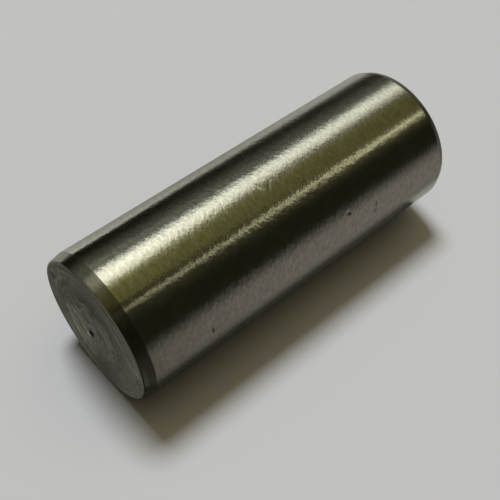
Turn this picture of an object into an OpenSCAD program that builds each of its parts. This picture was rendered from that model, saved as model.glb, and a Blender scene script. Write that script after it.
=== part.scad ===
// Hardened and ground dowel pin with a lead taper at its flat end and a crown at the other.
// It stands on the flat end: Z runs along the axis and z = 0 is the flat face.

/* [Ground body] */
// Diameter of the ground body
pin_d = 12; // [6:0.5:20]
// Overall length, from the flat face to the top of the crown
pin_l = 32; // [16:1:80]

/* [Lead end] */
// Length of the lead taper, along the axis
lead_l = 1; // [0.5:0.1:2.5]
// Slope of the lead taper, in degrees from the axis
lead_angle = 11; // [4:1:16]
// Radius that breaks the edge between the flat face and the lead taper
face_edge_r = 0.12; // [0.05:0.01:0.3]
// Width of the centre mark that facing leaves in the flat end
centre_mark_d = 0.6; // [0.3:0.1:1.2]
// Depth of the centre mark
centre_mark_h = 0.25; // [0.1:0.05:0.5]

/* [Crowned end] */
// Length of the tail taper, along the axis
tail_l = 0.6; // [0.3:0.1:2.5]
// Slope of the tail taper, in degrees from the axis
tail_angle = 22; // [6:1:30]
// Height of the crown above the edge of the tail taper
crown_h = 1; // [0.4:0.1:1.5]
// Radius that blends the tail taper into the crown
crown_edge_r = 0.4; // [0.1:0.05:0.6]

/* [Hidden] */
$fn = 96;

// Ground body
pin_r = pin_d / 2;

// Lead taper: it falls from the ground body to the rim of the flat face
face_r = pin_r - lead_l * tan(lead_angle);
lead_along = [sin(lead_angle), cos(lead_angle)];

// The rim's arc touches the face and the taper at the same distance from their corner
face_edge_cut = face_edge_r * tan((90 - lead_angle) / 2);
face_edge_centre = [face_r - face_edge_cut, face_edge_r];
lead_touch = [face_r, 0] + face_edge_cut * lead_along;

// Tail taper: it falls from the ground body to the rim of the crown
tail_r = pin_r - tail_l * tan(tail_angle);
crown_rim_z = pin_l - crown_h;
tail_start_z = crown_rim_z - tail_l;
tail_along = [-sin(tail_angle), cos(tail_angle)];
tail_out = [cos(tail_angle), sin(tail_angle)];

// Crown: the sphere through the rim of the tail taper and the top of the pin
crown_sphere_r = (tail_r * tail_r + crown_h * crown_h) / (2 * crown_h);
crown_centre = [0, pin_l - crown_sphere_r];

// The blend's centre lies crown_edge_r inside the taper and inside the crown's sphere
blend_line = [pin_r, tail_start_z] - crown_edge_r * tail_out;
blend_from = blend_line - crown_centre;
blend_half = blend_from * tail_along;
blend_reach = crown_sphere_r - crown_edge_r;
blend_run = sqrt(blend_half * blend_half - blend_from * blend_from + blend_reach * blend_reach) - blend_half;
blend_centre = blend_line + blend_run * tail_along;
tail_touch = blend_centre + crown_edge_r * tail_out;
crown_touch = crown_centre + (blend_centre - crown_centre) * crown_sphere_r / blend_reach;

// Half section of the pin up to the foot of the crown, without the two round edges
module straight_section() {
  polygon([
    [0, 0],
    [face_edge_centre[0], 0],
    face_edge_centre,
    lead_touch,
    [pin_r, lead_l],
    [pin_r, tail_start_z],
    tail_touch,
    blend_centre,
    crown_touch,
    [0, crown_touch[1]]
  ]);
}

// One round edge, as the part of its circle that lies in the section
module round_edge(centre, radius) {
  intersection() {
    translate(centre) circle(r = radius);
    square([pin_r, pin_l]);
  }
}

// Section of the crown above the line where the blend touches it
module crown_section() {
  intersection() {
    translate(crown_centre) circle(r = crown_sphere_r);
    translate([0, crown_touch[1]]) square([crown_touch[0], crown_h]);
  }
}

module dowel_pin() {
  color([0.62, 0.61, 0.56])
  difference() {
    rotate_extrude() {
      straight_section();
      round_edge(face_edge_centre, face_edge_r);
      round_edge(blend_centre, crown_edge_r);
      crown_section();
    }
    cylinder(d1 = centre_mark_d, d2 = 0, h = centre_mark_h);
  }
}

dowel_pin();
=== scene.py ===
# %% [markdown]
# # A ground dowel pin
# A dowel pin holds two machined parts in line. It is turned from a bar, hardened, and ground
# round to a few thousandths of a millimetre, so its side is a smooth mirror with fine lines around
# it. The two ends are left as the lathe made them: one flat with a lead taper, one crowned.
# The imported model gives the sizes. Blender adds what the tools and a little use left on the steel.

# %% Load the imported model
import math

import bpy
from mathutils import Matrix, Vector, noise


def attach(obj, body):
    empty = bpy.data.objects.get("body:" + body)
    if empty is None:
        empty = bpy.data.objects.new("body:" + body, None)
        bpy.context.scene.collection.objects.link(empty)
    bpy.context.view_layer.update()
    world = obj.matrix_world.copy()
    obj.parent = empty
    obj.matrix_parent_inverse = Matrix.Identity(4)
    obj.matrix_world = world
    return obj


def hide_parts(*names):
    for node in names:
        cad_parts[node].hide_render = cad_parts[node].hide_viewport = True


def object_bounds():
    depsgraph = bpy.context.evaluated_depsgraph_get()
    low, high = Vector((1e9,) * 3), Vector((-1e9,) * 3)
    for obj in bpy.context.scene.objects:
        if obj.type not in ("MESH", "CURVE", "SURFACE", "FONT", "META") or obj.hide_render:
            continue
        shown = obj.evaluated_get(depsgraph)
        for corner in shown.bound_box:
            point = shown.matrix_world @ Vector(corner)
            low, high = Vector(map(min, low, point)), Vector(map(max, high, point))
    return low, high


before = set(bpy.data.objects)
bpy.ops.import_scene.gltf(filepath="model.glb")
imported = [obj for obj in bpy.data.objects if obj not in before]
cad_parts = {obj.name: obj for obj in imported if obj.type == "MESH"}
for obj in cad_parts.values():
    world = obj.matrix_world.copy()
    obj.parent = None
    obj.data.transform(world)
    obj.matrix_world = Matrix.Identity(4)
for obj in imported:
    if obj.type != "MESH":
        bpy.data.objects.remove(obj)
CAD_LOW, CAD_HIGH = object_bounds()
MM = 0.001
PIN_R = (CAD_HIGH.x - CAD_LOW.x) / 2
PIN_L = CAD_HIGH.z - CAD_LOW.z
print("pin", round(2 * PIN_R / MM, 3), "x", round(PIN_L / MM, 3), "mm")

# %% [markdown]
# ## The section
# A turned part is one outline spun about its axis, so the outline is all that has to be drawn.
# It could be a curve, but a plain list of points says exactly where each ring of the mesh will
# lie. The list runs from the middle of the flat end, out over the end's edge and up the lead
# taper, along the ground side, in over the second taper and up the crown. The lengths are those
# of the part's own drawing.

# %% Sizes of the two ends
LEAD_L = 1.0 * MM
LEAD_ANGLE = math.radians(11)
TAIL_L = 0.6 * MM
TAIL_ANGLE = math.radians(22)
CROWN_H = 1.0 * MM
FACE_EDGE_R = 0.12 * MM
CROWN_EDGE_R = 0.4 * MM
SIDE_EDGE_R = 0.25 * MM

FACE_R = PIN_R - LEAD_L * math.tan(LEAD_ANGLE)
TAIL_R = PIN_R - TAIL_L * math.tan(TAIL_ANGLE)
TAIL_Z = PIN_L - CROWN_H - TAIL_L
CROWN_Z = PIN_L - CROWN_H
CROWN_R = (TAIL_R**2 + CROWN_H**2) / (2 * CROWN_H)
print("face radius", round(FACE_R / MM, 3), "crown radius", round(CROWN_R / MM, 2), "mm")

# %% [markdown]
# ## Knocks on the ground side
# A pin that has been about a bench has a few pits and a scratch or two. Each is a shallow dent
# with its own place, size and slant, pressed into the mesh further on. The mesh only needs to be
# fine where they are, so their places also decide where the rings of the side lie. The rest of
# the side is straight and takes rings far apart, which keeps the mesh small.

# %% Marks on the side
SIDE_MARKS = (  # height, degrees round from the front, half length, half width, depth (mm), slant
    (6.00, 49.6, 0.15, 0.24, 0.080, 0),
    (11.00, 5.0, 0.07, 0.11, 0.010, 0),
    (13.30, -13.0, 0.45, 0.09, 0.028, 75),
    (14.45, -20.2, 0.42, 0.08, 0.024, 74),
    (15.05, -16.3, 0.62, 0.09, 0.020, -50),
    (15.90, -26.0, 0.26, 0.08, 0.012, 60),
    (17.50, -6.9, 0.34, 0.10, 0.028, 50),
    (19.70, 6.9, 0.07, 0.11, 0.010, 0),
    (19.92, 32.5, 0.20, 0.12, 0.045, 40),
    (22.50, 45.6, 0.16, 0.20, 0.065, 0),
    (22.70, 40.0, 0.34, 0.14, 0.050, -70),
)
print(len(SIDE_MARKS), "marks, the deepest", max(mark[4] for mark in SIDE_MARKS), "mm")

# %% Rings of the side
MARK_STEP = 0.065
MARK_MARGIN = 1.5
PLAIN_STEP = 1.6
LEAST_GAP = 0.6 * MARK_STEP


def side_heights(low, high):
    """Heights for the rings of the ground side: close together at the marks, else far apart."""
    heights = set()
    for at, _, half_length, half_width, _, slant in SIDE_MARKS:
        lean = math.radians(slant)
        half_height = math.hypot(half_length * math.cos(lean), half_width * math.sin(lean))
        reach = MARK_MARGIN * half_height + MARK_STEP
        count = round(2 * reach / MARK_STEP)
        heights.update(round(at - reach + 2 * reach * i / count, 3) for i in range(count + 1))
    chosen = [low]
    for height in sorted(heights) + [high / MM]:
        gap = height - chosen[-1] / MM
        steps = max(1, math.ceil(gap / PLAIN_STEP))
        if gap > LEAST_GAP or height == high / MM:
            chosen += [chosen[-1] + gap * MM * (i + 1) / steps for i in range(steps)]
    return chosen[1:]


print("rings on the side", len(side_heights(LEAD_L, TAIL_Z)))

# %% [markdown]
# ## Straights, corners and the outline
# A real edge is never sharp: it catches a thin line of light. A bevel could round the edges
# afterwards, but in an outline each corner is only an arc between two straights, so it is drawn
# as one. The arc touches both straights at the same distance from the corner.

# %% Straights and corners
def spaced(start, end, count):
    """Count numbers after start, evenly spaced and ending at end."""
    return [start + (end - start) * (i + 1) / count for i in range(count)]


def straight(start, end, count):
    """Points after start along a straight stretch of the outline."""
    return list(zip(spaced(start[0], end[0], count), spaced(start[1], end[1], count)))


def rounded_corner(before, corner, after, radius, count):
    """Points of the arc that rounds a corner of the outline."""
    into = (Vector(before) - Vector(corner)).normalized()
    out = (Vector(after) - Vector(corner)).normalized()
    half = into.angle(out) / 2
    middle = (into + out).normalized()
    centre = Vector(corner) + middle * radius / math.sin(half)
    first = Vector(corner) + into * radius / math.tan(half) - centre
    last = Vector(corner) + out * radius / math.tan(half) - centre
    sweep = first.angle_signed(last)
    turns = [Matrix.Rotation(-sweep * i / count, 2) for i in range(count + 1)]
    return [tuple(centre + turn @ first) for turn in turns]


half_way = straight((0, 0), (2, 1), 2)[0]
print("half way along a straight of 2 by 1 is", half_way)

# %% The four rounded edges
FINE_CORNER = 6
PLAIN_CORNER = 3
BEFORE_RIM = 0.97


def on_crown(angle):
    """The point of the crown's arc at an angle from the pin's axis."""
    centre = PIN_L - CROWN_R
    return (CROWN_R * math.sin(angle), centre + CROWN_R * math.cos(angle))


flat_start = (0, 0)
face_corner = (FACE_R, 0)
lead_corner = (PIN_R, LEAD_L)
tail_corner = (PIN_R, TAIL_Z)
crown_corner = (TAIL_R, CROWN_Z)
crown_start = on_crown(BEFORE_RIM * math.asin(TAIL_R / CROWN_R))
face_edge = rounded_corner(flat_start, face_corner, lead_corner, FACE_EDGE_R, FINE_CORNER)
lead_edge = rounded_corner(face_corner, lead_corner, tail_corner, SIDE_EDGE_R, PLAIN_CORNER)
tail_edge = rounded_corner(lead_corner, tail_corner, crown_corner, SIDE_EDGE_R, PLAIN_CORNER)
crown_edge = rounded_corner(tail_corner, crown_corner, crown_start, CROWN_EDGE_R, FINE_CORNER)
print("the flat end is flat out to", round(face_edge[0][0] / MM, 3), "mm")

# %% The outline
FACE_RINGS = 106
LEAD_RINGS = 7
TAIL_RINGS = 4
CROWN_RINGS = 17

section = [(0.0, 0.0)]
section += [(r, 0.0) for r in spaced(0, face_edge[0][0], FACE_RINGS)]
section += face_edge[1:]
section += straight(face_edge[-1], lead_edge[0], LEAD_RINGS)
section += lead_edge[1:]
section += [(PIN_R, z) for z in side_heights(lead_edge[-1][1], tail_edge[0][1])]
section += tail_edge[1:]
section += straight(tail_edge[-1], crown_edge[0], TAIL_RINGS)
section += crown_edge[1:]
crown_rim = math.asin(crown_edge[-1][0] / CROWN_R)
section += [on_crown(angle) for angle in spaced(crown_rim, 0, CROWN_RINGS)]
print("section points", len(section))

# %% [markdown]
# ## Helpers for node trees
# The finishes, the lathe and the surroundings are all node trees. Setting up a node takes three
# or four lines each time, so a few helpers do what repeats: make a node, feed an input, do a sum,
# map one range onto another. An input is fed with a number, with a node, or with a node and the
# name of its output.

# %% Nodes and wires
def node(tree, kind, **settings):
    """A new node with its properties set by name."""
    made = tree.nodes.new(kind)
    for name, value in settings.items():
        setattr(made, name, value)
    return made


def wire(tree, source, target, source_socket=0, target_socket=0):
    """Joins one node's output to another's input, by number or name."""
    tree.links.new(source.outputs[source_socket], target.inputs[target_socket])


def feed(tree, value, socket):
    """Feeds an input with a number, a node, or a (node, output) pair."""
    if isinstance(value, (int, float)):
        socket.default_value = value
    elif isinstance(value, tuple):
        tree.links.new(value[0].outputs[value[1]], socket)
    else:
        tree.links.new(value.outputs[0], socket)


def new_material(name):
    """A material with an empty node tree."""
    material = bpy.data.materials.new(name)
    material.use_nodes = True
    material.node_tree.nodes.clear()
    return material


print("helpers: node, wire, feed, new_material")

# %% Sums and ranges
def maths(tree, operation, *values):
    """A Math node. Each value is a number, a node or a (node, output) pair."""
    made = node(tree, "ShaderNodeMath", operation=operation)
    for socket, value in zip(made.inputs, values):
        feed(tree, value, socket)
    return made


def ranged(tree, value, start, end, low=0, high=1, easy=False):
    """A Map Range node: low at start, high at end. An easy one starts and ends gently."""
    kind = "SMOOTHSTEP" if easy else "LINEAR"
    made = node(tree, "ShaderNodeMapRange", interpolation_type=kind)
    feed(tree, value, made.inputs["Value"])
    feed(tree, start, made.inputs["From Min"])
    feed(tree, end, made.inputs["From Max"])
    feed(tree, low, made.inputs["To Min"])
    feed(tree, high, made.inputs["To Max"])
    return made


def scaled(tree, value, share):
    """A vector or colour times a number."""
    made = node(tree, "ShaderNodeVectorMath", operation="SCALE")
    feed(tree, value, made.inputs[0])
    feed(tree, share, made.inputs["Scale"])
    return made


def added(tree, first, second):
    """Two vectors or colours added up."""
    made = node(tree, "ShaderNodeVectorMath", operation="ADD")
    feed(tree, first, made.inputs[0])
    feed(tree, second, made.inputs[1])
    return made


print("helpers: maths, ranged, scaled, added")

# %% [markdown]
# ## Finishes
# The side is ground: bright, with the finest lines running around it, so a reflection is drawn
# out along the pin and stays crisp across it. Handling has worn those lines smoother towards the
# ends. The tapers and the crown kept the skin of the hardening furnace, darker and duller, and
# the faced end is a coarse turned surface of the same skin. Four separate materials would repeat
# nearly everything, so all of them come from one recipe for steel with different numbers. The
# recipe has fine lines as bump, slow clouds in tone and roughness, and a shader that draws
# reflections out along the pin.

# %% Tool lines
LINE_DETAIL = 2.2
LINE_ROUGHNESS = 0.72
WORN_MIDDLE = 14.5 * MM
WORN_FROM = 6 * MM
WORN_TO = 12 * MM


def tool_lines(tree, place, around, along):
    """Noise stretched into short lines. The sizes, in millimetres, run round and up the pin."""
    lines = node(tree, "ShaderNodeMapping")
    lines.inputs["Scale"].default_value = (1, 1, around / along)
    wire(tree, place, lines, "Object", "Vector")
    fine = node(tree, "ShaderNodeTexNoise")
    fine.inputs["Scale"].default_value = 1 / (around * MM)
    fine.inputs["Detail"].default_value = LINE_DETAIL
    fine.inputs["Roughness"].default_value = LINE_ROUGHNESS
    wire(tree, lines, fine, 0, "Vector")
    return fine


def worn_bump(tree, place, fine, height, at_ends):
    """The lines as bump: full near the middle of the pin, and the share at_ends at its ends."""
    bump = node(tree, "ShaderNodeBump")
    bump.inputs["Distance"].default_value = height * MM
    wire(tree, fine, bump, "Fac", "Height")
    level = node(tree, "ShaderNodeSeparateXYZ")
    wire(tree, place, level, "Object")
    off_middle = maths(tree, "ABSOLUTE", maths(tree, "SUBTRACT", (level, "Z"), WORN_MIDDLE))
    kept = ranged(tree, off_middle, WORN_FROM, WORN_TO, 1, at_ends, easy=True)
    wire(tree, kept, bump, 0, "Strength")
    return bump


print("tool lines are full within", WORN_FROM / MM, "mm of", WORN_MIDDLE / MM, "mm up")

# %% Clouds and tone
CLOUD_SIZE = 1.6 * MM
CLOUD_DETAIL = 4
CLOUD_LOW = 0.3
CLOUD_HIGH = 0.7


def clouds(tree, place):
    """Slow, uneven patches, as a furnace and a hand leave them."""
    cloud = node(tree, "ShaderNodeTexNoise")
    cloud.inputs["Scale"].default_value = 1 / CLOUD_SIZE
    cloud.inputs["Detail"].default_value = CLOUD_DETAIL
    wire(tree, place, cloud, "Object", "Vector")
    return cloud


def patchy_tone(tree, cloud, fine, colour, mottle, speckle):
    """The colour, clouded and speckled, times the mesh's attribute skin (1 is plain), which also
    holds painted shade and highlight.
    """
    slow = maths(tree, "MULTIPLY", maths(tree, "SUBTRACT", (cloud, "Fac"), 0.5), mottle)
    quick = maths(tree, "MULTIPLY", maths(tree, "SUBTRACT", (fine, "Fac"), 0.5), speckle)
    share = maths(tree, "ADD", maths(tree, "ADD", slow, quick), 0.5)
    tone = node(tree, "ShaderNodeMix", data_type="RGBA")
    tone.inputs["A"].default_value = (*(c * 0.5 for c in colour), 1)
    tone.inputs["B"].default_value = (*(c * 1.5 for c in colour), 1)
    wire(tree, share, tone, 0, "Factor")
    skin = node(tree, "ShaderNodeAttribute", attribute_name="skin")
    return scaled(tree, (tone, "Result"), (skin, "Fac"))


print("clouds are about", CLOUD_SIZE / MM, "mm across")

# %% Steel, in one recipe
QUARTER_TURN = 0.25


def steel_finish(name, colour, roughness, stretch, lines, line_height, speckle, mottle, at_ends=1):
    """Bare steel. stretch draws reflections out, and lines are (around, along) in millimetres.

    speckle and mottle say how much fine lines and slow clouds change the tone, and at_ends what
    share of the lines is left at the pin's ends.
    """
    material = new_material(name)
    tree = material.node_tree
    surface = node(tree, "ShaderNodeBsdfPrincipled")
    surface.inputs["Metallic"].default_value = 1
    surface.inputs["Anisotropic"].default_value = stretch
    surface.inputs["Anisotropic Rotation"].default_value = QUARTER_TURN
    out = node(tree, "ShaderNodeOutputMaterial")
    wire(tree, surface, out, "BSDF", "Surface")
    around = node(tree, "ShaderNodeTangent", direction_type="RADIAL", axis="Z")
    wire(tree, around, surface, 0, "Tangent")

    place = node(tree, "ShaderNodeTexCoord")
    fine = tool_lines(tree, place, *lines)
    bump = worn_bump(tree, place, fine, line_height, at_ends)
    wire(tree, bump, surface, "Normal", "Normal")
    cloud = clouds(tree, place)
    smoothest = roughness * (1 - mottle / 2)
    roughest = roughness * (1 + mottle / 2)
    rough = ranged(tree, (cloud, "Fac"), CLOUD_LOW, CLOUD_HIGH, smoothest, roughest)
    wire(tree, rough, surface, 0, "Roughness")
    tone = patchy_tone(tree, cloud, fine, colour, mottle, speckle)
    wire(tree, tone, surface, 0, "Base Color")
    return material


ground_side = steel_finish(
    "ground_side", (0.62, 0.61, 0.56), roughness=0.15, stretch=1.0,
    lines=(0.52, 0.27), line_height=0.0215, speckle=0.80, mottle=0.15, at_ends=0.62)
print("the ground finish takes", len(ground_side.node_tree.nodes), "nodes")

# %% The three darker finishes
turned_taper = steel_finish(
    "turned_taper", (0.31, 0.30, 0.245), roughness=0.23, stretch=0.6,
    lines=(0.50, 0.16), line_height=0.0090, speckle=0.45, mottle=0.40)
faced_end = steel_finish(
    "faced_end", (0.236, 0.236, 0.188), roughness=0.28, stretch=0.3,
    lines=(0.30, 0.30), line_height=0.0080, speckle=0.30, mottle=0.40)
crowned_end = steel_finish(
    "crowned_end", (0.36, 0.35, 0.31), roughness=0.34, stretch=0.4,
    lines=(0.30, 0.30), line_height=0.0080, speckle=0.20, mottle=0.50)
print("and", [material.name for material in (turned_taper, faced_end, crowned_end)])

# %% [markdown]
# ## The lathe
# A Screw modifier could spin the section too, but a node tree also keeps each vertex's place on
# the section, which the marks need further on. A grid is rolled up: its rows are the points of
# the section and its columns are steps around the axis, so a vertex finds its radius and height
# from its row, and its angle from its column. The end was parted off a little out of true: the
# inner rings of the flat end are shifted to one side, and the outer ones fade back to the axis.

# %% The tree, its inputs and what each finish covers
EDGE_OF_FACE = 0.06 * MM
FINISHES = (  # the tree's input, the height up to which the finish reaches, the finish
    ("Face top", EDGE_OF_FACE, faced_end),
    ("Lead taper top", LEAD_L, turned_taper),
    ("Side top", TAIL_Z, ground_side),
    ("Crown top", 2 * PIN_L, crowned_end),
)
lathe = bpy.data.node_groups.new("lathe", "GeometryNodeTree")
LATHE_INPUTS = [
    ("Section", "NodeSocketGeometry"),
    ("Steps around", "NodeSocketInt"),
    ("Face radius", "NodeSocketFloat"),
    ("Half length", "NodeSocketFloat"),
    ("Ring shift", "NodeSocketVector"),
    ("Weld distance", "NodeSocketFloat"),
]
LATHE_INPUTS += [(name, "NodeSocketFloat") for name, _, _ in FINISHES]
sockets = {}
for name, kind in LATHE_INPUTS:
    socket = lathe.interface.new_socket(name, in_out="INPUT", socket_type=kind)
    sockets[name] = socket.identifier
lathe.interface.new_socket("Pin", in_out="OUTPUT", socket_type="NodeSocketGeometry")
given = node(lathe, "NodeGroupInput")
print("lathe inputs", sockets)

# %% Rows and columns
size = node(lathe, "GeometryNodeAttributeDomainSize", component="MESH")
wire(lathe, given, size, "Section")
columns = maths(lathe, "ADD", (given, "Steps around"), 1)
grid = node(lathe, "GeometryNodeMeshGrid")
wire(lathe, size, grid, "Point Count", "Vertices X")
wire(lathe, columns, grid, 0, "Vertices Y")
index = node(lathe, "GeometryNodeInputIndex")
row = maths(lathe, "FLOOR", maths(lathe, "DIVIDE", index, columns))
column = maths(lathe, "FLOORED_MODULO", index, columns)
turn = maths(lathe, "DIVIDE", column, (given, "Steps around"))
angle = maths(lathe, "MULTIPLY", turn, math.tau)
print("a vertex's row and column take", len(lathe.nodes), "nodes")

# %% Where each vertex goes
spot = node(lathe, "GeometryNodeInputPosition")
sampled = node(lathe, "GeometryNodeSampleIndex", data_type="FLOAT_VECTOR", domain="POINT")
wire(lathe, given, sampled, "Section", "Geometry")
wire(lathe, spot, sampled, 0, "Value")
wire(lathe, row, sampled, 0, "Index")
spun = node(lathe, "ShaderNodeVectorRotate", rotation_type="Z_AXIS")
wire(lathe, sampled, spun, 0, "Vector")
wire(lathe, angle, spun, 0, "Angle")
drawn = node(lathe, "ShaderNodeSeparateXYZ")
wire(lathe, sampled, drawn)
fade = ranged(lathe, (drawn, "X"), 0, (given, "Face radius"), 1, 0, easy=True)
near_face = maths(lathe, "LESS_THAN", (drawn, "Z"), (given, "Half length"))
shift = scaled(lathe, (given, "Ring shift"), maths(lathe, "MULTIPLY", fade, near_face))
placed = added(lathe, spun, shift)
print("with their places", len(lathe.nodes), "nodes")

# %% Roll, weld and finish
marked = grid
for name, value in (("ring", (drawn, "X")), ("turn", angle)):
    kept = node(lathe, "GeometryNodeStoreNamedAttribute", data_type="FLOAT", domain="POINT")
    kept.inputs["Name"].default_value = name
    wire(lathe, marked, kept, 0, "Geometry")
    feed(lathe, value, kept.inputs["Value"])
    marked = kept
rolled = node(lathe, "GeometryNodeSetPosition")
wire(lathe, marked, rolled, 0, "Geometry")
wire(lathe, placed, rolled, 0, "Position")
welded = node(lathe, "GeometryNodeMergeByDistance")
wire(lathe, rolled, welded)
wire(lathe, given, welded, "Weld distance", "Distance")
outward = node(lathe, "GeometryNodeFlipFaces")
wire(lathe, welded, outward)
smooth = node(lathe, "GeometryNodeSetShadeSmooth")
wire(lathe, outward, smooth)
real = node(lathe, "GeometryNodeRealizeInstances")
wire(lathe, smooth, real)
level = node(lathe, "ShaderNodeSeparateXYZ")
wire(lathe, spot, level)
finished = real
for name, _, material in reversed(FINISHES):
    below = maths(lathe, "LESS_THAN", (level, "Z"), (given, name))
    painted = node(lathe, "GeometryNodeSetMaterial")
    painted.inputs["Material"].default_value = material
    wire(lathe, finished, painted, 0, "Geometry")
    wire(lathe, below, painted, 0, "Selection")
    finished = painted
wire(lathe, finished, node(lathe, "NodeGroupOutput"))
print("the whole lathe", len(lathe.nodes), "nodes")

# %% [markdown]
# ## The pin as one mesh
# The section becomes a line of vertices, the tree spins it, and the result is taken out as a
# plain mesh. One mesh with four finishes is closed all round, as the real pin is. Four meshes
# would need hidden walls where they meet. Everything that has a bearing round the pin is given
# from the bearing of the camera, so that is settled first.

# %% Spin the pin
CAMERA_BEARING = math.radians(-13)
PIP_SHIFT = 1.2 * MM
STEPS_AROUND = 380
WELD = 0.002 * MM


def spin_pin():
    """The whole pin as a plain mesh object at the origin."""
    line = bpy.data.meshes.new("section")
    edges = [(i, i + 1) for i in range(len(section) - 1)]
    line.from_pydata([(r, 0, z) for r, z in section], edges, [])
    blank = bpy.data.objects.new("section", line)
    bpy.context.scene.collection.objects.link(blank)
    spinning = blank.modifiers.new("lathe", "NODES")
    spinning.node_group = lathe
    away = (-PIP_SHIFT * math.cos(CAMERA_BEARING), -PIP_SHIFT * math.sin(CAMERA_BEARING), 0)
    spinning[sockets["Steps around"]] = STEPS_AROUND
    spinning[sockets["Face radius"]] = FACE_R
    spinning[sockets["Half length"]] = PIN_L / 2
    spinning[sockets["Ring shift"]] = away
    spinning[sockets["Weld distance"]] = WELD
    for name, top, _ in FINISHES:
        spinning[sockets[name]] = top
    bpy.context.view_layer.update()
    depsgraph = bpy.context.evaluated_depsgraph_get()
    mesh = bpy.data.meshes.new_from_object(blank.evaluated_get(depsgraph))
    bpy.data.objects.remove(blank)
    return mesh


mesh = spin_pin()
print("spun in", STEPS_AROUND, "steps:", len(mesh.vertices), "vertices")

# %% Keep the finishes in use
used = {polygon.material_index for polygon in mesh.polygons}
for unused in sorted(set(range(len(mesh.materials))) - used, reverse=True):
    mesh.materials.pop(index=unused)
mesh.name = "dowel_pin_steel"
pin = bpy.data.objects.new("dowel_pin_steel", mesh)
bpy.context.scene.collection.objects.link(pin)
side_faces = [face for face in mesh.polygons if math.hypot(*face.center.xy) > FACE_R]
print("faces", len(mesh.polygons), "materials", [material.name for material in mesh.materials])
print("outward", all(face.normal.xy.dot(face.center.xy) > 0 for face in side_faces))

# %% [markdown]
# ## What the lathe left on the flat end, and painted shade
# The flat end was faced with a pointed tool and then parted off. That leaves shallow rings,
# broken up and wandering as a blunt tool cuts them, a torn middle that lies a little deeper, a
# few torn-out pits and a pip hole. They could be bump in the material, but moved vertices hold
# their shape in any light and in a print. Everything moves into the steel, so the pin keeps its
# size. The skin is not even either: it is lighter and darker in patches, darker around the torn
# middle, and darker along the rim. Shade is painted into the skin too: the pits and the pip hole
# are painted dark, and so are two patches where the flat end meets the card.

# %% Helpers for uneven steel
def easy_step(value, low, high):
    """0 below low, 1 above high, and an easy curve between."""
    share = min(1.0, max(0.0, (value - low) / (high - low)))
    return share * share * (3 - 2 * share)


def wander(turn, pace, layer):
    """A slow wave round a circle, between about -1 and 1, that closes on itself."""
    return 2 * noise.noise(Vector((math.cos(turn) * pace, math.sin(turn) * pace, layer)))


def off_spot(place, front, side, reach, reach_beside):
    """How far a place is off a spot of the flat end, squared: 1 on the spot's edge."""
    ahead = place.x * math.cos(CAMERA_BEARING) + place.y * math.sin(CAMERA_BEARING)
    beside = place.y * math.cos(CAMERA_BEARING) - place.x * math.sin(CAMERA_BEARING)
    return ((ahead - front) / reach) ** 2 + ((beside - side) / reach_beside) ** 2


DENT_POWER = 1.5


def dent(off):
    """The share of a dent's depth at a squared distance off: a flat bottom and a quick wall."""
    return math.exp(-(off**DENT_POWER))


print("a dent is", round(dent(0.25), 2), "deep halfway out and", round(dent(1), 2), "at its edge")

# %% Rings of the faced end
FACE_GROOVES = (  # radius, half width, depth (mm)
    (1.05, 0.12, 0.022),
    (2.35, 0.12, 0.020),
    (4.60, 0.16, 0.022),
    (5.25, 0.12, 0.024),
)
GROOVE_WANDER = 0.10
GROOVE_MEAN = 0.55
GROOVE_CHANGE = 0.6


def groove_depth(ring, turn):
    """How deep the tool's rings are cut at a place."""
    depth = 0
    for at, half_width, groove in FACE_GROOVES:
        offset = ring - at + GROOVE_WANDER * wander(turn, pace=1.1, layer=at)
        share = GROOVE_MEAN + GROOVE_CHANGE * wander(turn, pace=1.7, layer=at + 20)
        depth += groove * max(0.0, share) * math.exp(-((offset / half_width) ** 2))
    return depth


middle_groove = FACE_GROOVES[1][0]
print("a ring is cut", round(groove_depth(middle_groove, 0), 3), "mm deep at", middle_groove, "mm")

# %% The torn middle
TORN_R = 3.35
TORN_LOBES = 0.12
TORN_TEETH = 0.04
TORN_DEPTH = 0.045
TORN_INSIDE = 0.16
TORN_OUTSIDE = 0.06


def torn_edge(turn):
    """How far from the pip the torn middle reaches."""
    lobes = TORN_LOBES * wander(turn, pace=1.3, layer=7.1)
    teeth = TORN_TEETH * wander(turn, pace=5.0, layer=9.3)
    return TORN_R * (1 + lobes + teeth)


def torn_share(ring, turn):
    """1 in the torn middle, 0 outside it, and between them at its edge."""
    edge = torn_edge(turn)
    return 1 - easy_step(ring, edge - TORN_INSIDE, edge + TORN_OUTSIDE)


print("on one side the torn middle reaches", round(torn_edge(0), 2), "mm from the pip")

# %% Coarse steel
COARSE_SIZE = 0.85
COARSE_KIND = (0.9, 2.0, 3)  # how fast finer layers fade, how much finer each is, how many
COARSE_DEPTH = 0.018
COARSE_TORN = 0.027
DRAG_WIDTH = 0.17
DRAG_PACE = 1.6
DRAG_LAYER = 3
DRAG_DEPTH = 0.010


def coarse_depth(ring, turn, place, torn):
    """Uneven steel: coarse all over, coarser where it is torn, and dragged along the rings."""
    coarse = noise.fractal(place / COARSE_SIZE, *COARSE_KIND)
    ahead = math.cos(turn) * DRAG_PACE
    beside = math.sin(turn) * DRAG_PACE
    drag = noise.noise(Vector((ring / DRAG_WIDTH, ahead, beside + DRAG_LAYER)))
    return (COARSE_DEPTH + COARSE_TORN * torn) * coarse + DRAG_DEPTH * drag


print("the torn steel is", COARSE_TORN / COARSE_DEPTH + 1, "times as coarse as the rest")

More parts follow.
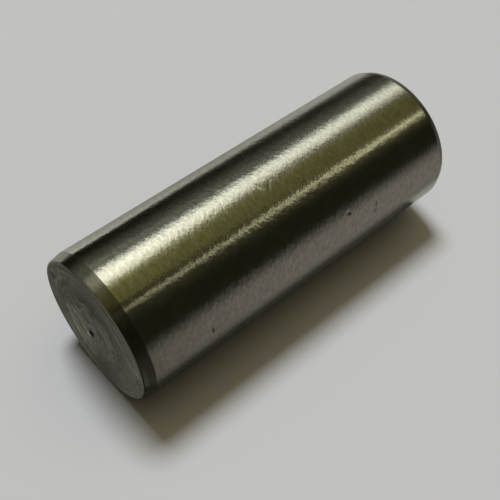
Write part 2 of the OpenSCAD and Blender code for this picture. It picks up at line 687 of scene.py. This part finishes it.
# %% Pits and the pip hole
FACE_PITS = (  # towards the front, to the side, radius, depth (mm)
    (-0.3, -2.1, 0.30, 0.070),
    (-0.5, -0.8, 0.26, 0.060),
    (1.2, -2.3, 0.28, 0.050),
    (1.2, 2.2, 0.28, 0.060),
    (0.6, 2.0, 0.20, 0.040),
    (2.0, 2.1, 0.22, 0.050),
    (2.4, 1.2, 0.28, 0.050),
    (2.2, -1.0, 0.28, 0.040),
    (-0.9, -4.9, 0.34, 0.050),
    (2.0, 4.6, 0.24, 0.040),
)
FACE_LOW = 0.010
PIP_R = 0.32
PIP_UNROUND = 0.2
PIP_BOTTOM = 0.35
PIP_DEPTH = 0.28


def face_depth(ring, turn, place):
    """How far into the steel a point of the flat end lies. Everything is in millimetres."""
    torn = torn_share(ring, turn)
    depth = FACE_LOW + groove_depth(ring, turn)
    depth += TORN_DEPTH * torn
    depth += coarse_depth(ring, turn, place, torn)
    for front, side, radius, pit in FACE_PITS:
        depth += pit * dent(off_spot(place, front, side, radius, radius))
    pip = PIP_R * (1 + PIP_UNROUND * wander(turn, pace=1.5, layer=4.4))
    depth += PIP_DEPTH * (1 - easy_step(ring, PIP_BOTTOM * pip, pip))
    return max(0.0, depth)


print("the pip hole is", round(face_depth(0, 0, Vector((0, 0, 0))), 3), "mm deep")

# %% Light and dark skin, and painted shade
FACE_PATCHES_AND_PAINTED_SHADE = (  # towards the front, to the side, reach each way (mm), share of the light
    (-2.8, -1.2, 2.4, 1.7, 1.80),
    # These two dark patches lie where the flat end meets the card: painted shade of that contact.
    (-3.9, 3.4, 2.3, 2.1, 0.46),
    (-4.7, 3.1, 1.4, 1.8, 0.62),
    (3.7, 4.1, 1.3, 1.1, 1.65),
    (2.6, -1.0, 1.0, 1.7, 0.70),
    (1.3, -4.6, 3.5, 1.8, 0.70),
    (1.0, 1.0, 1.4, 1.6, 1.22),
    (-1.9, -0.1, 0.25, 0.18, 1.80),
)
PATCH_POWER = 1.7
PATCH_RAGGED = 0.7
PATCH_PACE = 0.9
HALO_DARK = 0.34
HALO_OUT = 0.35
HALO_WIDTH = 0.40
# Painted shade: the pits and the pip hole are painted dark in the skin.
PIT_PAINTED_SHADE = 0.82
PIP_PAINTED_SHADE = 0.96
PIP_PAINTED_SHADE_FROM = 0.9 * PIP_R
PIP_PAINTED_SHADE_TO = 1.4 * PIP_R


def face_skin_and_painted_shade(ring, turn, place):
    """How light the skin of the flat end is there, with painted shade in the pits, the pip hole and
    where the end meets the card: 1 is plain.
    """
    off_halo = (ring - torn_edge(turn) - HALO_OUT) / HALO_WIDTH
    skin = 1.0 - HALO_DARK * math.exp(-(off_halo**2))
    for front, side, reach, reach_beside, share in FACE_PATCHES_AND_PAINTED_SHADE:
        off = off_spot(place, front, side, reach, reach_beside)
        ragged = 1 + PATCH_RAGGED * noise.noise(place * PATCH_PACE + Vector((0, 0, front)))
        skin *= 1 + (share - 1) * math.exp(-((off * ragged) ** PATCH_POWER))
    # Painted shade in the pip hole and in the pits.
    skin *= 1 - PIP_PAINTED_SHADE * (1 - easy_step(ring, PIP_PAINTED_SHADE_FROM, PIP_PAINTED_SHADE_TO))
    for front, side, radius, _ in FACE_PITS:
        skin *= 1 - PIT_PAINTED_SHADE * math.exp(-off_spot(place, front, side, radius, radius))
    return skin


# At the pip this is mostly painted shade.
print("skin at the pip", round(face_skin_and_painted_shade(0, 0, Vector((0, 0, 0))), 3))

# %% Press the flat end
RIM_SKIN = 0.62
RIM_TOP = 0.09
RIM_FADE = 0.35
FLAT_R = (FACE_R - FACE_EDGE_R) / MM
ON_FLAT = 1e-7

rings = mesh.attributes["ring"].data
turns = mesh.attributes["turn"].data
# Besides the skin's own tone, this attribute carries painted shade on the flat end and a painted
# highlight on the burr.
skin_and_painted_light = mesh.attributes.new("skin", "FLOAT", "POINT").data
deepest = 0
for i, vertex in enumerate(mesh.vertices):
    skin_and_painted_light[i].value = 1.0
    ring = rings[i].value / MM
    if vertex.co.z < RIM_TOP * MM and ring > FLAT_R:
        skin_and_painted_light[i].value = RIM_SKIN
    if vertex.co.z > ON_FLAT or ring > FLAT_R:
        continue
    fade = 1 - easy_step(ring, FLAT_R - RIM_FADE, FLAT_R)
    place = Vector((vertex.co.x, vertex.co.y, 0)) / MM
    vertex.co.z += face_depth(ring, turns[i].value, place) * fade * MM
    skin_and_painted_light[i].value = face_skin_and_painted_shade(ring, turns[i].value, place)
    deepest = max(deepest, vertex.co.z / MM)
print("the flat end is cut up to", round(deepest, 3), "mm deep")

# %% [markdown]
# ## Press the knocks into the side
# A knock is a dent or a scratch: a bump drawn out along its slant. A Boolean could cut it, but it
# would leave a sharp, closed-off edge, and the steel around a real knock only gives way a little.
# So each vertex near a mark is pushed towards the axis by the mark's depth at that place.

# %% The knocks
KNOCK_REACH = 2.5
KNOCK_RAGGED = 0.5
KNOCK_PACE = 6
moved = 0
for at, bearing, half_length, half_width, depth, slant in SIDE_MARKS:
    middle = CAMERA_BEARING + math.radians(bearing)
    lean = math.radians(slant)
    reach = KNOCK_REACH * max(half_length, half_width)
    for vertex in mesh.vertices:
        up = vertex.co.z / MM - at
        if abs(up) > reach:
            continue
        turned = math.remainder(math.atan2(vertex.co.y, vertex.co.x) - middle, math.tau)
        across = turned * PIN_R / MM
        if abs(across) > reach:
            continue
        along = (up * math.cos(lean) + across * math.sin(lean)) / half_length
        beside = (across * math.cos(lean) - up * math.sin(lean)) / half_width
        ragged = 1 + KNOCK_RAGGED * noise.noise(Vector((up, across, at)) * KNOCK_PACE)
        push = depth * MM * dent((along**2 + beside**2) * ragged)
        vertex.co.x -= push * math.cos(turned + middle)
        vertex.co.y -= push * math.sin(turned + middle)
        moved += 1
print("vertices moved by the knocks", moved)

# %% [markdown]
# ## A burr on the rim
# Parting off rolled a little steel over the rim of the flat end on one side. It stands out from
# the lead taper by less than a tenth of a millimetre, and never past the ground side. It is part
# of the same steel, so it is drawn out of the pin's own mesh and not added as a piece. Its skin
# is painted a little lighter where it stands out: a painted highlight.

# %% The burr
BURR_MIDDLE = 56.0
BURR_HALF = 10.0
BURR_REACH = 0.10
BURR_FULL = 0.08
BURR_TOP = 0.40
BURR_PAINTED_HIGHLIGHT = 0.05
LUMP_MEAN = 0.6
LUMP_CHANGE = 0.8
LUMP_PACE = (0.35, 4)
LUMP_LAYER = 2
RIM_START = FACE_R / MM - 0.25
RIM_FULL = FACE_R / MM - 0.02
widest = 0
for vertex in mesh.vertices:
    height = vertex.co.z / MM
    radius = math.hypot(vertex.co.x, vertex.co.y) / MM
    if height > BURR_TOP or radius < RIM_START:
        continue
    turned = math.atan2(vertex.co.y, vertex.co.x) - CAMERA_BEARING
    off = math.degrees(math.remainder(turned, math.tau)) - BURR_MIDDLE
    lumpy = noise.noise(Vector((off * LUMP_PACE[0], height * LUMP_PACE[1], LUMP_LAYER)))
    lump = max(0.0, LUMP_MEAN + LUMP_CHANGE * lumpy)
    share = math.exp(-((off / BURR_HALF) ** 2)) * (1 - easy_step(height, BURR_FULL, BURR_TOP))
    rim = easy_step(radius, RIM_START, RIM_FULL)
    grow = 1 + BURR_REACH * lump * share * rim / radius
    vertex.co.x *= grow
    vertex.co.y *= grow
    # Painted highlight: the burr's skin is made a little lighter.
    skin_and_painted_light[vertex.index].value *= 1 + BURR_PAINTED_HIGHLIGHT * lump * share * rim
    widest = max(widest, (grow - 1) * radius)
for name in ("ring", "turn"):
    mesh.attributes.remove(mesh.attributes[name])
mesh.update()
print("the burr stands out by", round(widest, 3), "mm")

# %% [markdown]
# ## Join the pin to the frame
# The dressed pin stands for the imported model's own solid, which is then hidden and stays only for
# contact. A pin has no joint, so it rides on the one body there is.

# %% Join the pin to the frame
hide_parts("dowel_pin")
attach(pin, "root")
print(pin.name, "stands for dowel_pin and rides on root")

# %% [markdown]
# ## The camera
# It stands level with the flat end and a little below it, turned on its side, so that the flat
# end is near and the pin runs away to the upper right. Places for the camera are easiest to give
# as seen from its side: so far towards it, so far beside, and so far up the pin.

# %% The camera
CAMERA_REACH = 58.657 * MM
CAMERA_HEIGHT = -13.940 * MM
AIM_SIDE = 1.452 * MM
AIM_HEIGHT = 13.712 * MM
CAMERA_TURN = math.radians(55.73)


def around(reach, side, height):
    """A point given as the camera sees the pin: towards it, to its side, and up the pin."""
    towards = Vector((math.cos(CAMERA_BEARING), math.sin(CAMERA_BEARING), 0))
    sideways = Vector((-math.sin(CAMERA_BEARING), math.cos(CAMERA_BEARING), 0))
    return towards * reach + sideways * side + Vector((0, 0, height))


lens = bpy.data.cameras.new("camera")
lens.lens = 60
lens.sensor_width = 36
lens.clip_start = 0.005
lens.clip_end = 10
camera = bpy.data.objects.new("camera", lens)
bpy.context.scene.collection.objects.link(camera)
camera.location = around(CAMERA_REACH, 0, CAMERA_HEIGHT)
look = around(0, AIM_SIDE, AIM_HEIGHT) - camera.location
upright = look.to_track_quat("-Z", "Y").to_matrix()
camera.rotation_euler = (upright @ Matrix.Rotation(CAMERA_TURN, 3, "Z")).to_euler()
bpy.context.scene.camera = camera
print("the camera aims from", round(look.length / MM, 1), "mm away")

# %% [markdown]
# ## Floor and card
# The pin stands on a pale floor. A pale card stands along one side of it, touching it, and takes
# the pin's long shadow. Both are stage only. A plain sheet would hide the pin from behind or from
# below, so these show from the front and are clear from behind, and steel and lamps pass them by.

# %% Stage sheets
def mixed(tree, share, first, second):
    """A Mix Shader: first where the share is 0, second where it is 1."""
    made = node(tree, "ShaderNodeMixShader")
    feed(tree, share, made.inputs["Fac"])
    wire(tree, first, made, 0, 1)
    wire(tree, second, made, 0, 2)
    return made


def one_sided(name, colour):
    """A matt material that shows from its front only."""
    material = new_material(name)
    tree = material.node_tree
    matt = node(tree, "ShaderNodeBsdfDiffuse")
    matt.inputs["Color"].default_value = (*colour, 1)
    clear = node(tree, "ShaderNodeBsdfTransparent")
    side = node(tree, "ShaderNodeNewGeometry")
    choice = mixed(tree, (side, "Backfacing"), matt, clear)
    wire(tree, choice, node(tree, "ShaderNodeOutputMaterial"))
    return material


def stage_sheet(name, corners, material):
    """A flat stage sheet whose front is the side its corners run anticlockwise on."""
    sheet = bpy.data.meshes.new(name)
    sheet.from_pydata(corners, [], [tuple(range(len(corners)))])
    sheet.materials.append(material)
    made = bpy.data.objects.new(name, sheet)
    bpy.context.scene.collection.objects.link(made)
    made.visible_diffuse = False
    made.visible_transmission = False
    made.visible_shadow = False
    return made


print("helpers: mixed, one_sided, stage_sheet")

# %% Floor and card
PALE = (0.537, 0.556, 0.596)
FLOOR_HEIGHT = 0.02 * MM
STAGE_HALF = 0.6
CARD_BEARING = CAMERA_BEARING - math.radians(32)
card_front = Vector((math.cos(CARD_BEARING), math.sin(CARD_BEARING), 0))
card_along = Vector((-card_front.y, card_front.x, 0))
card_middle = -card_front * PIN_R


def on_card(start, end, low, high):
    """Corners of an upright sheet in the card's plane, from start to end along it."""
    return [
        tuple(card_middle + card_along * along + Vector((0, 0, height)))
        for along, height in ((start, low), (end, low), (end, high), (start, high))
    ]


floor = stage_sheet("floor", [
    (-STAGE_HALF, -STAGE_HALF, FLOOR_HEIGHT),
    (STAGE_HALF, -STAGE_HALF, FLOOR_HEIGHT),
    (STAGE_HALF, STAGE_HALF, FLOOR_HEIGHT),
    (-STAGE_HALF, STAGE_HALF, FLOOR_HEIGHT),
], one_sided("floor", PALE))
card_corners = on_card(-STAGE_HALF, STAGE_HALF, -STAGE_HALF, STAGE_HALF)
card = stage_sheet("card", card_corners, one_sided("card", PALE))
for sheet in (floor, card):
    sheet.visible_glossy = False
print("card faces", [round(v, 3) for v in card.data.polygons[0].normal])

# %% [markdown]
# ## Lamps
# One soft lamp shines square to the pin's axis and throws its long shadow on the card. A second
# one shines down on the floor. Area lamps would do, but a wide sun lamp lights a sheet evenly, so
# its brightness can be worked out: together with the fill, a plain white card is lit to just
# about 1, and so is the floor. Neither lamp shows in the steel, which is left to the ring of
# cards further on. A weak warm fill comes from the world, strongest square to the card. It opens
# the shadow away from the pin and leaves it dark where the pin touches the card.

# %% What the fill gives
FILL_TINT = (1.0, 0.85, 0.50)
FILL_ON_CARD = 0.261  # what a white card gets from the fill alone, worked out beforehand
FILL_ON_FLOOR = 0.142  # the same for a white floor
LIT = tuple(1 - FILL_ON_CARD + FILL_ON_CARD * tint for tint in FILL_TINT)
print("a plain white card is lit to", [round(share, 3) for share in LIT])

# %% Lamps
LAMP_BEARING = CAMERA_BEARING - math.radians(51)
SIDE_TILT = math.radians(6.5)
SIDE_WIDTH = 17.5
TOP_TILT = math.radians(20)
TOP_WIDTH = 30


def pointing(bearing, tilt):
    """A direction given by its bearing round the pin and its angle above level."""
    level = math.cos(tilt)
    return (level * math.cos(bearing), level * math.sin(bearing), math.sin(tilt))


def soft_sun(name, direction, width, colour, brightness):
    """A wide sun lamp that shines from a direction. brightness 1 lights a square-on white to 1."""
    light = bpy.data.lights.new(name, "SUN")
    light.color = colour
    light.energy = brightness * math.pi
    light.angle = math.radians(width)
    lamp = bpy.data.objects.new(name, light)
    bpy.context.scene.collection.objects.link(lamp)
    lamp.rotation_euler = Vector(direction).to_track_quat("Z", "Y").to_euler()
    lamp.visible_glossy = False
    return lamp


side_light = (1 - FILL_ON_CARD) / math.cos(LAMP_BEARING - CARD_BEARING) / math.cos(SIDE_TILT)
side_from = pointing(LAMP_BEARING, SIDE_TILT)
side_lamp = soft_sun("side_lamp", side_from, SIDE_WIDTH, (1, 1, 1), side_light)
side_on_floor = side_lamp.data.energy / math.pi * math.sin(SIDE_TILT)
wanted = [whole - side_on_floor - FILL_ON_FLOOR * tint for whole, tint in zip(LIT, FILL_TINT)]
top_colour = tuple(share / wanted[0] for share in wanted)
top_from = Vector((0, 0, math.cos(TOP_TILT))) - card_front * math.sin(TOP_TILT)
top_lamp = soft_sun("top_lamp", top_from, TOP_WIDTH, top_colour, wanted[0] / math.cos(TOP_TILT))
print("lamps", round(side_lamp.data.energy, 3), "and", round(top_lamp.data.energy, 3))

# %% [markdown]
# ## The ring of cards
# Polished steel shows its surroundings and not itself. In a studio it gets cards around it: a
# bright strip, a white sheet, a dark flag. Real sheets would throw shadows and show in the
# render, so here the cards are painted on the world as a ring around the pin, and only the steel
# sees them. A card has its place in degrees round the pin from the camera's side, two soft edges,
# a tint, and its brightness at six heights, where -1 is straight down and 1 straight up. Each
# card is one soft step up, one soft step down and one ramp over the height, and the cards are
# added up. Where two overlap, the second softens an edge or brightens a strip's middle.

# %% The cards
NEUTRAL = (1.0, 1.0, 0.88)
CREAM = (1.0, 1.01, 0.86)
OLIVE = (1.0, 0.94, 0.33)
STRAW = (1.0, 0.97, 0.60)
WARM = (1.0, 0.93, 0.84)
SMOKE = (1.0, 1.03, 0.85)
MIST = (1.0, 1.05, 0.97)
DARK = (1.0, 0.95, 0.45)
FRINGE = (1.0, 0.98, 0.60)
HEIGHTS = (-0.34, -0.13, 0.27, 0.44, 0.62, 0.92)
CARDS = (  # from, to, soft before, soft after, tint, brightness at each of the heights
    (-179.9, -150, 0.1, 10, NEUTRAL, (0.19, 0.001, 0.001, 0.001, 0.001, 0.01)),
    (-168, -152, 10, 6, NEUTRAL, (0.08, 0.60, 0.285, 0.230, 0.38, 0.30)),
    (-146, -140, 6, 8, NEUTRAL, (0.36, 0.62, 0.350, 0.310, 0.40, 0.30)),
    (-132, -127.2, 8, 1.0, NEUTRAL, (0.36, 0.64, 0.47, 0.41, 0.43, 0.30)),
    (-128, -124.8, 2, 2, NEUTRAL, (0.01, 0.01, 0.230, 0.010, 0.10, 0.25)),
    (-125, -120, 3, 6, NEUTRAL, (0.01, 0.01, 0.001, 0.001, 0.05, 0.30)),
    (-79, -77, 31, 5, SMOKE, (0.20, 0.18, 0.087, 0.078, 0.076, 0.04)),
    (-79, -74, 7, 4, SMOKE, (0.02, 0.02, 0.12, 0.03, 0.050, 0.02)),
    (-70, -67, 8, 6, MIST, (0.01, 0.01, 0.001, 0.010, 0.35, 0.01)),
    (-59.5, -59, 16, 17, CREAM, (0.40, 0.19, 1.82, 1.14, 1.07, 0.05)),
    (-53, -46, 5, 8, CREAM, (0.05, 0.02, 0.60, 0.001, 0.001, 0.01)),
    (-47, -45, 7, 13, FRINGE, (0.05, 0.02, 0.68, 0.15, 0.17, 0.02)),
    (-36, -14.5, 4, 4.5, OLIVE, (0.20, 0.040, 0.108, 0.090, 0.094, 0.03)),
    (-9.5, -9, 7, 5, OLIVE, (0.10, 0.020, 0.030, 0.030, 0.094, 0.03)),
    (-36, -35, 4, 26, OLIVE, (0.10, 0.02, 0.07, 0.030, 0.005, 0.01)),
    (-1, 0, 4.5, 3, STRAW, (0.10, 0.01, 0.20, 0.42, 0.44, 0.03)),
    (-2, 1.5, 9, 8, STRAW, (0.01, 0.01, 0.001, 0.015, 0.36, 0.01)),
    (-2, 2, 15, 14, STRAW, (0.02, 0.01, 0.001, 0.003, 0.07, 0.01)),
    (-109, 140, 12, 20, DARK, (0.009, 0.010, 0.009, 0.009, 0.010, 0.010)),
    (5, 9, 4, 16, DARK, (0.006, 0.005, 0.007, 0.019, 0.028, 0.010)),
    (80, 112, 30, 33, WARM, (0.03, 0.004, 0.124, 0.180, 0.190, 0.14)),
    (147, 151, 14, 16, WARM, (0.03, 0.03, 0.018, 0.028, 0.042, 0.05)),
    (160, 179.9, 14, 0.1, WARM, (0.27, 0.03, 0.004, 0.010, 0.014, 0.04)),
)
print(len(CARDS), "cards, the brightest", max(max(card[5]) for card in CARDS))

# %% Which way a ray looks
world = bpy.data.worlds.new("ring")
bpy.context.scene.world = world
world.use_nodes = True
world.cycles.sampling_method = "NONE"
tree = world.node_tree
tree.nodes.clear()
direction = node(tree, "ShaderNodeTexCoord")
turned = node(tree, "ShaderNodeVectorRotate", rotation_type="Z_AXIS")
turned.inputs["Angle"].default_value = -CAMERA_BEARING
wire(tree, direction, turned, "Generated", "Vector")
parts = node(tree, "ShaderNodeSeparateXYZ")
wire(tree, turned, parts)
bearing = maths(tree, "ARCTAN2", (parts, "Y"), (parts, "X"))
height = maths(tree, "ADD", maths(tree, "MULTIPLY", (parts, "Z"), 0.5), 0.5)
print("bearings are counted from", round(math.degrees(CAMERA_BEARING)), "degrees")

# %% Hang the cards
GAP = (0.003, 0.003, 0.0012)


def card_light(card):
    """One card's light: its cover round the pin times its colour at a height from 0 to 1."""
    first, last, before, after, tint, brightness = card
    start = math.radians(first - before)
    end = math.radians(last + after)
    rise = ranged(tree, bearing, start, math.radians(first), 0, 1, easy=True)
    fall = ranged(tree, bearing, math.radians(last), end, 1, 0, easy=True)
    ramp = node(tree, "ShaderNodeValToRGB")
    stops = ramp.color_ramp.elements
    stops.remove(stops[-1])
    for i, (at, strength) in enumerate(zip(HEIGHTS, brightness)):
        stop = stops[0] if i == 0 else stops.new((at + 1) / 2)
        stop.position = (at + 1) / 2
        stop.color = (*(strength * share for share in tint), 1)
    wire(tree, height, ramp, 0, "Fac")
    return scaled(tree, ramp, maths(tree, "MULTIPLY", rise, fall))


shown = node(tree, "ShaderNodeCombineXYZ")
for socket, share in zip(shown.inputs, GAP):
    socket.default_value = share
for card_given in CARDS:
    shown = added(tree, shown, card_light(card_given))
print("the ring takes", len(tree.nodes), "nodes")

# %% [markdown]
# ## Below, around and behind
# Low down the ring grows dim, and further down it gives way to the pale floor: a pin seen from
# above shows the floor in its lower part. Light that has already met a matt surface must not see
# the ring, or the cards would light the stage, so the ring goes dark for it. The matt stage gets
# the warm fill instead, and the camera sees a plain pale backdrop, lit as the floor is.

# %% The ring and the floor under it
DIM_FROM = -0.80
DIM_TO = HEIGHTS[0]
DIM_SHARE = 0.35
FLOOR_WHOLE = -0.82
FLOOR_GONE = -0.54
LIT_PALE = (*(pale * share for pale, share in zip(PALE, LIT)), 1)


def background(colour, strength=1):
    """A Background shader. The colour is a node or four numbers."""
    made = node(tree, "ShaderNodeBackground")
    if isinstance(colour, tuple):
        made.inputs["Color"].default_value = colour
    else:
        wire(tree, colour, made, 0, "Color")
    feed(tree, strength, made.inputs["Strength"])
    return made


ray = node(tree, "ShaderNodeLightPath")
straight_from_steel = maths(tree, "LESS_THAN", (ray, "Diffuse Depth"), 1)
dimming = ranged(tree, (parts, "Z"), DIM_FROM, DIM_TO, DIM_SHARE, 1)
ring_light = background(shown, maths(tree, "MULTIPLY", straight_from_steel, dimming))
floor_light = background(LIT_PALE, straight_from_steel)
downward = ranged(tree, (parts, "Z"), FLOOR_WHOLE, FLOOR_GONE, 1, 0, easy=True)
for_steel = mixed(tree, downward, ring_light, floor_light)
print("the floor shows from", round(math.degrees(math.asin(-FLOOR_GONE))), "degrees down")

# %% The warm fill
FILL_TILT = math.radians(18)
FILL_EVEN = 0.075
FILL_BEFORE_CARD = 0.98
FILL_NARROW = 8
facing = node(tree, "ShaderNodeVectorMath", operation="DOT_PRODUCT")
facing.inputs[1].default_value = pointing(CARD_BEARING, FILL_TILT)
wire(tree, direction, facing, "Generated", 0)
narrow = maths(tree, "POWER", maths(tree, "MAXIMUM", (facing, "Value"), 0), FILL_NARROW)
fill_share = maths(tree, "ADD", maths(tree, "MULTIPLY", narrow, FILL_BEFORE_CARD), FILL_EVEN)
fill_light = background((*FILL_TINT, 1), fill_share)
print("the fill is", round(FILL_BEFORE_CARD + FILL_EVEN, 3), "at its strongest")

# %% Who sees what
seen = mixed(tree, (ray, "Is Glossy Ray"), fill_light, for_steel)
seen = mixed(tree, (ray, "Is Camera Ray"), seen, background(LIT_PALE))
wire(tree, seen, node(tree, "ShaderNodeOutputWorld"))
print("the world takes", len(tree.nodes), "nodes")

# %% [markdown]
# ## A pale card past the crowned end
# The ring is endlessly far away, so it can't show what lies close by at one end only. The part of
# the side next to the card mirrors the card: in the pin's own shadow for most of its length, and
# lit past the crowned end. One small glowing sheet in the card's plane gives that lit part. It
# starts near the crowned end, grows dimmer along the card, and only the steel sees it.

# %% A pale card past the crowned end
FAR_CARD_LIGHT = 0.41
FAR_CARD_DIM = 0.58
FAR_CARD_START = 31.0 * MM
FAR_CARD_END = 52 * MM
FAR_CARD_NEAR = -3 * MM
FAR_CARD_FAR = 8.3 * MM
FAR_CARD_BRIGHT = 5 * MM


def glowing(name, colour, along, dim_at, bright_at, dimmest):
    """A glow that fades along a direction, from full at bright_at to dimmest at dim_at."""
    material = new_material(name)
    tree = material.node_tree
    glow = node(tree, "ShaderNodeEmission")
    glow.inputs["Color"].default_value = (*colour, 1)
    wire(tree, glow, node(tree, "ShaderNodeOutputMaterial"))
    place = node(tree, "ShaderNodeTexCoord")
    reach = node(tree, "ShaderNodeVectorMath", operation="DOT_PRODUCT")
    reach.inputs[1].default_value = along
    wire(tree, place, reach, "Object", 0)
    share = ranged(tree, (reach, "Value"), dim_at, bright_at, dimmest, 1)
    wire(tree, share, glow, 0, "Strength")
    material.cycles.emission_sampling = "NONE"
    return material


far_corners = on_card(FAR_CARD_FAR, FAR_CARD_NEAR, FAR_CARD_START, FAR_CARD_END)
far_colour = tuple(FAR_CARD_LIGHT * share for share in NEUTRAL)
far_glow = glowing(
    "far_card", far_colour, card_along, FAR_CARD_FAR, FAR_CARD_BRIGHT, FAR_CARD_DIM)
far_card = stage_sheet("far_card", far_corners, far_glow)
far_card.visible_camera = False
print("the far card starts", round((PIN_L - FAR_CARD_START) / MM, 1), "mm below the crown's top")

# %% [markdown]
# ## Colours as written
# The Standard view shows a colour as it is written.

# %% Colours as written, and the end
bpy.context.scene.view_settings.view_transform = "Standard"
